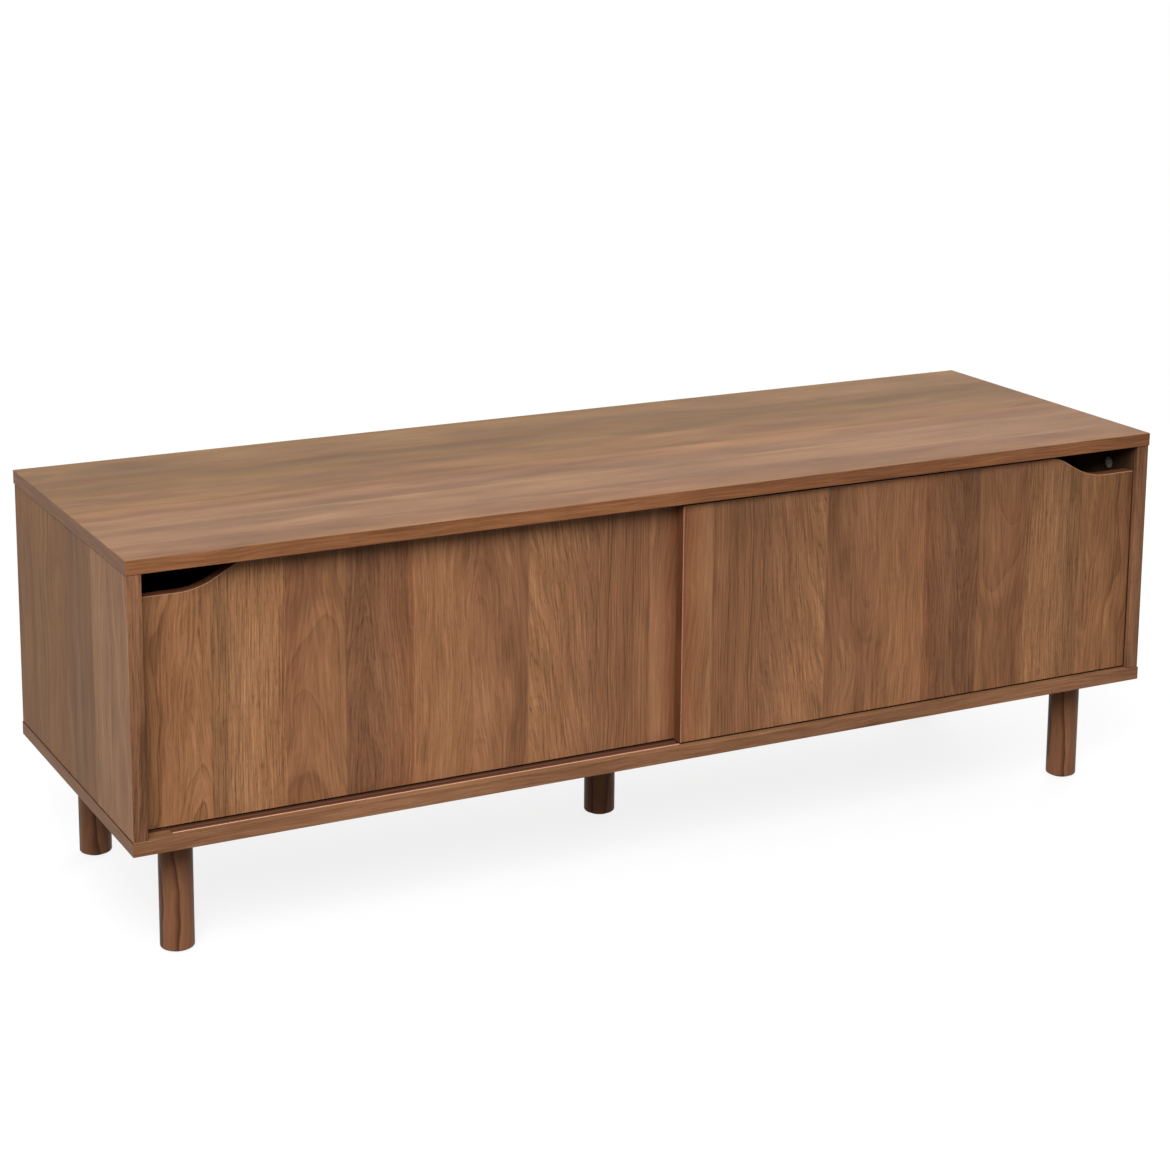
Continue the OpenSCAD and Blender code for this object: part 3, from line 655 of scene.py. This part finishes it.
def round_peg_tree():
    """A tree that stands a round peg on every point of a mesh, along the point's aim.

    The peg begins at the point with its rounded end, and its far end is flat.
    """
    tree = bpy.data.node_groups.new("round_pegs", "GeometryNodeTree")
    face = tree.interface
    face.new_socket("Points", in_out="INPUT", socket_type="NodeSocketGeometry")
    for name in ("Radius", "Length", "Rounding"):
        face.new_socket(name, in_out="INPUT", socket_type="NodeSocketFloat")
    face.new_socket("Material", in_out="INPUT", socket_type="NodeSocketMaterial")
    face.new_socket("Pegs", in_out="OUTPUT", socket_type="NodeSocketGeometry")
    given = add(tree, "NodeGroupInput").outputs

    # The peg's outline: a quarter circle of this many points, then straight to the far end.
    steps = 9
    line = add(tree, "GeometryNodeCurvePrimitiveLine")
    line = add(tree, "GeometryNodeResampleCurve", {"Curve": line, "Count": steps + 1})
    step = add(tree, "GeometryNodeInputIndex")
    angle = add(tree, "ShaderNodeMath", {0: step, 1: math.pi / 2 / (steps - 1)},
                operation="MULTIPLY")
    is_last = add(tree, "ShaderNodeMath", {0: step, 1: steps - 0.5}, operation="GREATER_THAN")
    sine = add(tree, "ShaderNodeMath", {0: angle}, operation="SINE")
    cosine = add(tree, "ShaderNodeMath", {0: angle}, operation="COSINE")
    up = add(tree, "ShaderNodeMath", {0: 1.0, 1: cosine}, operation="SUBTRACT")
    up = add(tree, "ShaderNodeMath", {0: up, 1: given["Rounding"]}, operation="MULTIPLY")
    height = add(tree, "ShaderNodeMix", {0: is_last, 2: up, 3: given["Length"]})
    flat = add(tree, "ShaderNodeMath", {0: given["Radius"], 1: given["Rounding"]},
               operation="SUBTRACT")
    curved = add(tree, "ShaderNodeMath", {0: sine, 1: given["Rounding"], 2: flat},
                 operation="MULTIPLY_ADD")
    width = add(tree, "ShaderNodeMix", {0: is_last, 2: curved, 3: given["Radius"]})
    at = add(tree, "ShaderNodeCombineXYZ", {2: height})
    side = add(tree, "GeometryNodeSetPosition", {"Geometry": line, "Position": at})
    facets = 64
    circle = add(tree, "GeometryNodeCurvePrimitiveCircle", {"Resolution": facets, "Radius": 1.0})
    peg = add(tree, "GeometryNodeCurveToMesh", {"Curve": side, "Profile Curve": circle,
                                                "Scale": width, "Fill Caps": True})

    aim = add(tree, "GeometryNodeInputNamedAttribute", {"Name": "aim"}, data_type="FLOAT_VECTOR")
    turn = add(tree, "FunctionNodeAlignRotationToVector", {"Vector": aim}, axis="Z")
    pegs = add(tree, "GeometryNodeInstanceOnPoints",
               {"Points": given["Points"], "Instance": peg, "Rotation": turn})
    pegs = add(tree, "GeometryNodeRealizeInstances", {"Geometry": pegs})
    pegs = add(tree, "GeometryNodeSetMaterial", {"Geometry": pegs, "Material": given["Material"]})
    add(tree, "NodeGroupOutput", {"Pegs": pegs})
    return tree


round_pegs = round_peg_tree()


def stand_pegs(name, replaced, spots, radius, length, rounding, material):
    """Makes pegs with the tree, as one plain mesh, in place of the CAD nodes in replaced.

    spots are (place, aim) pairs.
    """
    points = bpy.data.meshes.new(name + "_points")
    points.from_pydata([place for place, aim in spots], [], [])
    aims = points.attributes.new("aim", "FLOAT_VECTOR", "POINT")
    for i, (place, aim) in enumerate(spots):
        aims.data[i].vector = aim
    maker = bpy.data.objects.new(name + "_points", points)
    bpy.context.scene.collection.objects.link(maker)
    modifier = maker.modifiers.new("pegs", "NODES")
    modifier.node_group = round_pegs
    values = {"Radius": radius, "Length": length, "Rounding": rounding, "Material": material}
    for item in round_pegs.interface.items_tree:
        if item.in_out == "INPUT" and item.name in values:
            modifier[item.identifier] = values[item.name]
    made = bpy.data.meshes.new_from_object(
        maker.evaluated_get(bpy.context.evaluated_depsgraph_get()))
    bpy.data.objects.remove(maker)
    made.name = name
    made.shade_smooth()
    made.set_sharp_from_angle(angle=math.radians(35))
    piece = bpy.data.objects.new(name, made)
    bpy.context.scene.collection.objects.link(piece)
    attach(piece, "cabinet")
    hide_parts(*replaced)


def turned_hardwood():
    """Hardwood, turned, stained and lacquered: upright grain with thin dark lines, half gloss."""
    material, tree, output = new_material("hardwood_turned_stained")
    here = add(tree, "ShaderNodeTexCoord").outputs["Object"]
    # The grain wanders by up to 35 mm, in bends about 55 mm wide and 110 mm long.
    drift = add(tree, "ShaderNodeVectorMath", {0: here, 1: (18.0, 18.0, 9.0)},
                operation="MULTIPLY")
    drift = add(tree, "ShaderNodeTexNoise", {"Vector": drift, "Scale": 1.0, "Detail": 2.0})
    drift = add(tree, "ShaderNodeVectorMath", {0: drift.outputs["Color"], "Scale": 35 * MM},
                operation="SCALE")
    bent = add(tree, "ShaderNodeVectorMath", {0: here, 1: drift}, operation="ADD")
    # The growth rings stand at an angle to the front. A wave of scale 1 is pi / 10 metres long.
    ring_gap = 22 * MM
    across = add(tree, "ShaderNodeMapping", {"Vector": bent, "Rotation": (0.04, 0.0, 0.5)})
    rings = add(tree, "ShaderNodeTexWave", {"Vector": across, "Scale": math.pi / 10 / ring_gap,
                                            "Distortion": 0.0, "Detail": 0.0},
                wave_type="BANDS", bands_direction="X", wave_profile="SAW")
    # Streaks about 4 mm wide and 110 mm long run up between them.
    drawn = add(tree, "ShaderNodeVectorMath", {0: bent, 1: (260.0, 260.0, 9.0)},
                operation="MULTIPLY")
    fine = add(tree, "ShaderNodeTexNoise", {"Vector": drawn, "Scale": 1.0, "Detail": 3.0})
    tint = add(tree, "ShaderNodeValToRGB", {"Fac": rings},
               stops=[(0.0, linear("#845a3e")), (0.7, linear("#784e36")),
                      (0.94, linear("#4a2b1c")), (1.0, linear("#744b34"))])
    light = add(tree, "ShaderNodeMath", {0: fine, 1: 0.6, 2: 0.7}, operation="MULTIPLY_ADD")
    tint = add(tree, "ShaderNodeVectorMath", {0: tint, "Scale": light}, operation="SCALE")
    relief = add(tree, "ShaderNodeBump", {"Height": fine, "Strength": 0.1, "Distance": 0.2 * MM})
    surface = add(tree, "ShaderNodeBsdfPrincipled",
                  {"Base Color": tint, "Roughness": 0.45, "Normal": relief,
                   "Specular IOR Level": 0.12})
    tree.links.new(surface.outputs[0], output.inputs["Surface"])
    return material


LEG_NODES = ["front_left_leg", "front_right_leg", "back_left_leg", "back_right_leg", "middle_leg"]
LEG_ROUNDING = 2.5 * MM
leg_boxes = [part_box(name) for name in LEG_NODES]
leg_low, leg_high = leg_boxes[0]
stand_pegs("turned_legs", LEG_NODES,
           [(((low.x + high.x) / 2, (low.y + high.y) / 2, low.z), ALONG_Z)
            for low, high in leg_boxes],
           (leg_high.x - leg_low.x) / 2, leg_high.z - leg_low.z, LEG_ROUNDING, turned_hardwood())


# ---- Soft stops --------------------------------------------------------------------------------
# Small domes of clear polyurethane stick to the side boards. A door meets one high and one low as
# it closes, on the line of each track.

def soft_polyurethane():
    """Soft polyurethane: milky and clear, with a skin that gathers a little dust."""
    material, tree, output = new_material("polyurethane_clear_soft")
    here = add(tree, "ShaderNodeTexCoord").outputs["Object"]
    # The specks are about 1 mm wide.
    dust = add(tree, "ShaderNodeTexNoise", {"Vector": here, "Scale": 900.0, "Detail": 3.0})
    tint = add(tree, "ShaderNodeValToRGB", {"Fac": dust},
               stops=[(0.35, linear("#b9b4aa")), (0.6, linear("#dcdad4"))])
    surface = add(tree, "ShaderNodeBsdfPrincipled",
                  {"Base Color": tint, "Roughness": 0.3, "IOR": 1.49,
                   "Transmission Weight": 0.35})
    tree.links.new(surface.outputs[0], output.inputs["Surface"])
    return material


STOP_D = 9 * MM
DOOR_PLAY = 0.3 * MM  # between a closed door and its stops
stops_low, stops_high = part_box("door_bumpers")
stop_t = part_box("right_side_board")[0].x - right_door_high.x - DOOR_PLAY
dome_x = stops_high.x - stop_t
spots = [((side * dome_x, (low.y + high.y) / 2, z), (side, 0, 0))
         for low, high in ((left_door_low, left_door_high), (right_door_low, right_door_high))
         for z in (stops_low.z + STOP_D / 2, stops_high.z - STOP_D / 2)
         for side in (-1, 1)]
# They are domes: nine tenths of their height is rounded.
stand_pegs("soft_stops", ["door_bumpers"], spots, STOP_D / 2, stop_t,
           0.9 * stop_t, soft_polyurethane())


# ---- Fittings ----------------------------------------------------------------------------------
# Cam locks and their bolts pull the boards together, and dowels line them up. Steel pins carry
# the shelves, and countersunk screws hold the back panels. The steel is plated with zinc, and the
# cam locks are cast from it.

def zinc(name, metallic, roughness):
    """Zinc, plated on steel or cast: a bright grey metal, clouded, and duller where it is cast."""
    material, tree, output = new_material(name)
    here = add(tree, "ShaderNodeTexCoord").outputs["Object"]
    # The clouds in it are 2 mm wide.
    cloud = add(tree, "ShaderNodeTexNoise", {"Vector": here, "Scale": 1 / (2 * MM),
                                             "Detail": 3.0})
    tint = add(tree, "ShaderNodeValToRGB", {"Fac": cloud},
               stops=[(0.3, linear("#b4b4b0")), (0.7, linear("#dededa"))])
    matt = add(tree, "ShaderNodeMath", {0: cloud, 1: 0.2, 2: roughness - 0.1},
               operation="MULTIPLY_ADD")
    surface = add(tree, "ShaderNodeBsdfPrincipled",
                  {"Base Color": tint, "Metallic": metallic, "Roughness": matt})
    tree.links.new(surface.outputs[0], output.inputs["Surface"])
    return material


def bare_beech():
    """Beech: pale pinkish wood, flecked along the grain, left bare."""
    material, tree, output = new_material("beech_bare")
    here = add(tree, "ShaderNodeTexCoord").outputs["Object"]
    # The flecks are about 0.7 mm wide and 5 mm long.
    drawn = add(tree, "ShaderNodeVectorMath", {0: here, 1: (1500.0, 1500.0, 200.0)},
                operation="MULTIPLY")
    flecks = add(tree, "ShaderNodeTexNoise", {"Vector": drawn, "Scale": 1.0, "Detail": 2.0})
    tint = add(tree, "ShaderNodeValToRGB", {"Fac": flecks},
               stops=[(0.35, linear("#b98f66")), (0.6, linear("#dcbf98"))])
    surface = add(tree, "ShaderNodeBsdfPrincipled", {"Base Color": tint, "Roughness": 0.7})
    tree.links.new(surface.outputs[0], output.inputs["Surface"])
    return material


finish(zinc("steel_zinc_plated", 1.0, 0.44), "cam_bolts", "back_screws", "shelf_pins", "leg_rods",
       "leg_sockets")
finish(zinc("zinc_die_cast", 0.5, 0.6), "cam_locks")
finish(bare_beech(), "dowels")


# ---- Foot pads ---------------------------------------------------------------------------------
# A round pad of grey felt with a moulded stem is knocked into the end of each leg, so that the
# cabinet slides without scratching the floor.

def wool_felt():
    """Felt: matted grey fibres, quite dull, lighter where fibres stand up."""
    material, tree, output = new_material("felt_grey")
    here = add(tree, "ShaderNodeTexCoord").outputs["Object"]
    # Its tufts are drawn about 0.7 mm wide, because single fibres are too fine to show.
    fibres = add(tree, "ShaderNodeTexNoise", {"Vector": here, "Scale": 1500.0, "Detail": 5.0,
                                              "Distortion": 1.5})
    tint = add(tree, "ShaderNodeValToRGB", {"Fac": fibres},
               stops=[(0.3, linear("#3d3936")), (0.7, linear("#6d6762"))])
    relief = add(tree, "ShaderNodeBump", {"Height": fibres, "Strength": 0.6,
                                          "Distance": 0.3 * MM})
    surface = add(tree, "ShaderNodeBsdfPrincipled",
                  {"Base Color": tint, "Roughness": 0.95, "Normal": relief})
    tree.links.new(surface.outputs[0], output.inputs["Surface"])
    return material


finish(wool_felt(), "foot_pads")


# ---- Floor, light and camera -------------------------------------------------------------------
# The cabinet stands on a plain white floor in a white studio. One wide soft lamp hangs above and
# to the left of its front, a weaker one lights its back and right end, and the room fills in.

def seen_by_camera(tree):
    """1 for what the camera sees, straight or in a reflection or through something clear."""
    path = add(tree, "ShaderNodeLightPath").outputs
    seen = add(tree, "ShaderNodeMath", {0: path["Is Camera Ray"], 1: path["Is Glossy Ray"]},
               operation="MAXIMUM")
    return add(tree, "ShaderNodeMath", {0: seen, 1: path["Is Transmission Ray"]},
               operation="MAXIMUM")


def studio_floor():
    """A white floor that still shows the cabinet's shadow, softly, and has no visible end.

    Only what the camera or a reflection sees of it is white; it throws back little light. Near
    the cabinet the white is part glow and part paint, which the shadow falls on.
    """
    material, tree, output = new_material("studio_floor")
    glow = add(tree, "ShaderNodeEmission", {"Color": grey(1), "Strength": 0.84})
    paint = add(tree, "ShaderNodeBsdfDiffuse", {"Color": grey(0.15)})
    near = add(tree, "ShaderNodeAddShader", {0: glow, 1: paint})
    white = add(tree, "ShaderNodeEmission", {"Color": grey(1), "Strength": 1.0})
    # The shadow fades out between these distances from the cabinet's middle, in metres.
    fade_start, fade_end = 1.2, 3.0
    here = add(tree, "ShaderNodeTexCoord").outputs["Object"]
    distance = add(tree, "ShaderNodeVectorMath", {0: here}, operation="LENGTH").outputs["Value"]
    far = add(tree, "ShaderNodeMapRange", {0: distance, 1: fade_start, 2: fade_end},
              interpolation_type="SMOOTHSTEP")
    bright = add(tree, "ShaderNodeMixShader", {0: far, 1: near, 2: white})
    dim = add(tree, "ShaderNodeBsdfDiffuse", {"Color": grey(0.12)})
    floor = add(tree, "ShaderNodeMixShader", {0: seen_by_camera(tree), 1: dim, 2: bright})
    tree.links.new(floor.outputs[0], output.inputs["Surface"])
    return material


HALF = 30  # metres from the cabinet to the floor's edges
floor_mesh = bpy.data.meshes.new("floor")
floor_mesh.from_pydata([(-HALF, -HALF, 0), (HALF, -HALF, 0), (HALF, HALF, 0), (-HALF, HALF, 0)],
                       [], [(0, 1, 2, 3)])
floor_mesh.materials.append(studio_floor())
floor = bpy.data.objects.new("floor", floor_mesh)
bpy.context.scene.collection.objects.link(floor)

# The room lights from all sides, most from overhead, and is seen as plain white.
world = bpy.data.worlds.new("studio")
bpy.context.scene.world = world
world.use_nodes = True
room = world.node_tree
room.nodes.clear()
way = add(room, "ShaderNodeSeparateXYZ", {0: add(room, "ShaderNodeTexCoord").outputs["Generated"]})
fill_level, fill_overhead = 0.12, 0.75
fill = add(room, "ShaderNodeMapRange",
           {0: way.outputs["Z"], 1: 0.0, 2: 0.8, 3: fill_level, 4: fill_overhead})
strength = add(room, "ShaderNodeMix", {0: seen_by_camera(room), 2: fill, 3: 1.0})
light = add(room, "ShaderNodeBackground", {"Color": grey(1), "Strength": strength})
add(room, "ShaderNodeOutputWorld", {"Surface": light})

LAMP_AIM = Vector((0, 0, 0.3))
for name, place, size, energy in (("soft_box_front", (-1.8, -2.7, 2.9), 2.4, 205),
                                  ("soft_box_behind", (2.4, 2.2, 1.6), 2.0, 75)):
    soft_box = bpy.data.lights.new(name, "AREA")
    soft_box.shape = "DISK"
    soft_box.size = size
    soft_box.energy = energy
    lamp = bpy.data.objects.new(name, soft_box)
    lamp.location = place
    lamp.rotation_euler = (LAMP_AIM - lamp.location).to_track_quat("-Z", "Y").to_euler()
    lamp.visible_glossy = name == "soft_box_front"  # the one behind must not shine in the top
    bpy.context.scene.collection.objects.link(lamp)

# The camera's turn is from +Y towards +X, its pitch is downwards, and the roll tilts the frame.
CAMERA_AT = Vector((-1.505, -2.840, 1.262))
TURN, PITCH, ROLL = 0.4801, 0.1988, 0.0078
lens = bpy.data.cameras.new("camera")
lens.lens = 79.75
lens.sensor_width = 36
lens.shift_y = -0.2
lens.clip_end = 200
camera = bpy.data.objects.new("camera", lens)
ahead = Vector((math.sin(TURN) * math.cos(PITCH), math.cos(TURN) * math.cos(PITCH),
                -math.sin(PITCH)))
right = ahead.cross(Vector(ALONG_Z)).normalized()
up = right.cross(ahead)
right, up = (math.cos(ROLL) * right + math.sin(ROLL) * up,
             math.cos(ROLL) * up - math.sin(ROLL) * right)
camera.rotation_euler = Matrix((right, up, -ahead)).transposed().to_euler()
camera.location = CAMERA_AT
bpy.context.scene.collection.objects.link(camera)
bpy.context.scene.camera = camera
bpy.context.scene.view_settings.view_transform = "Standard"
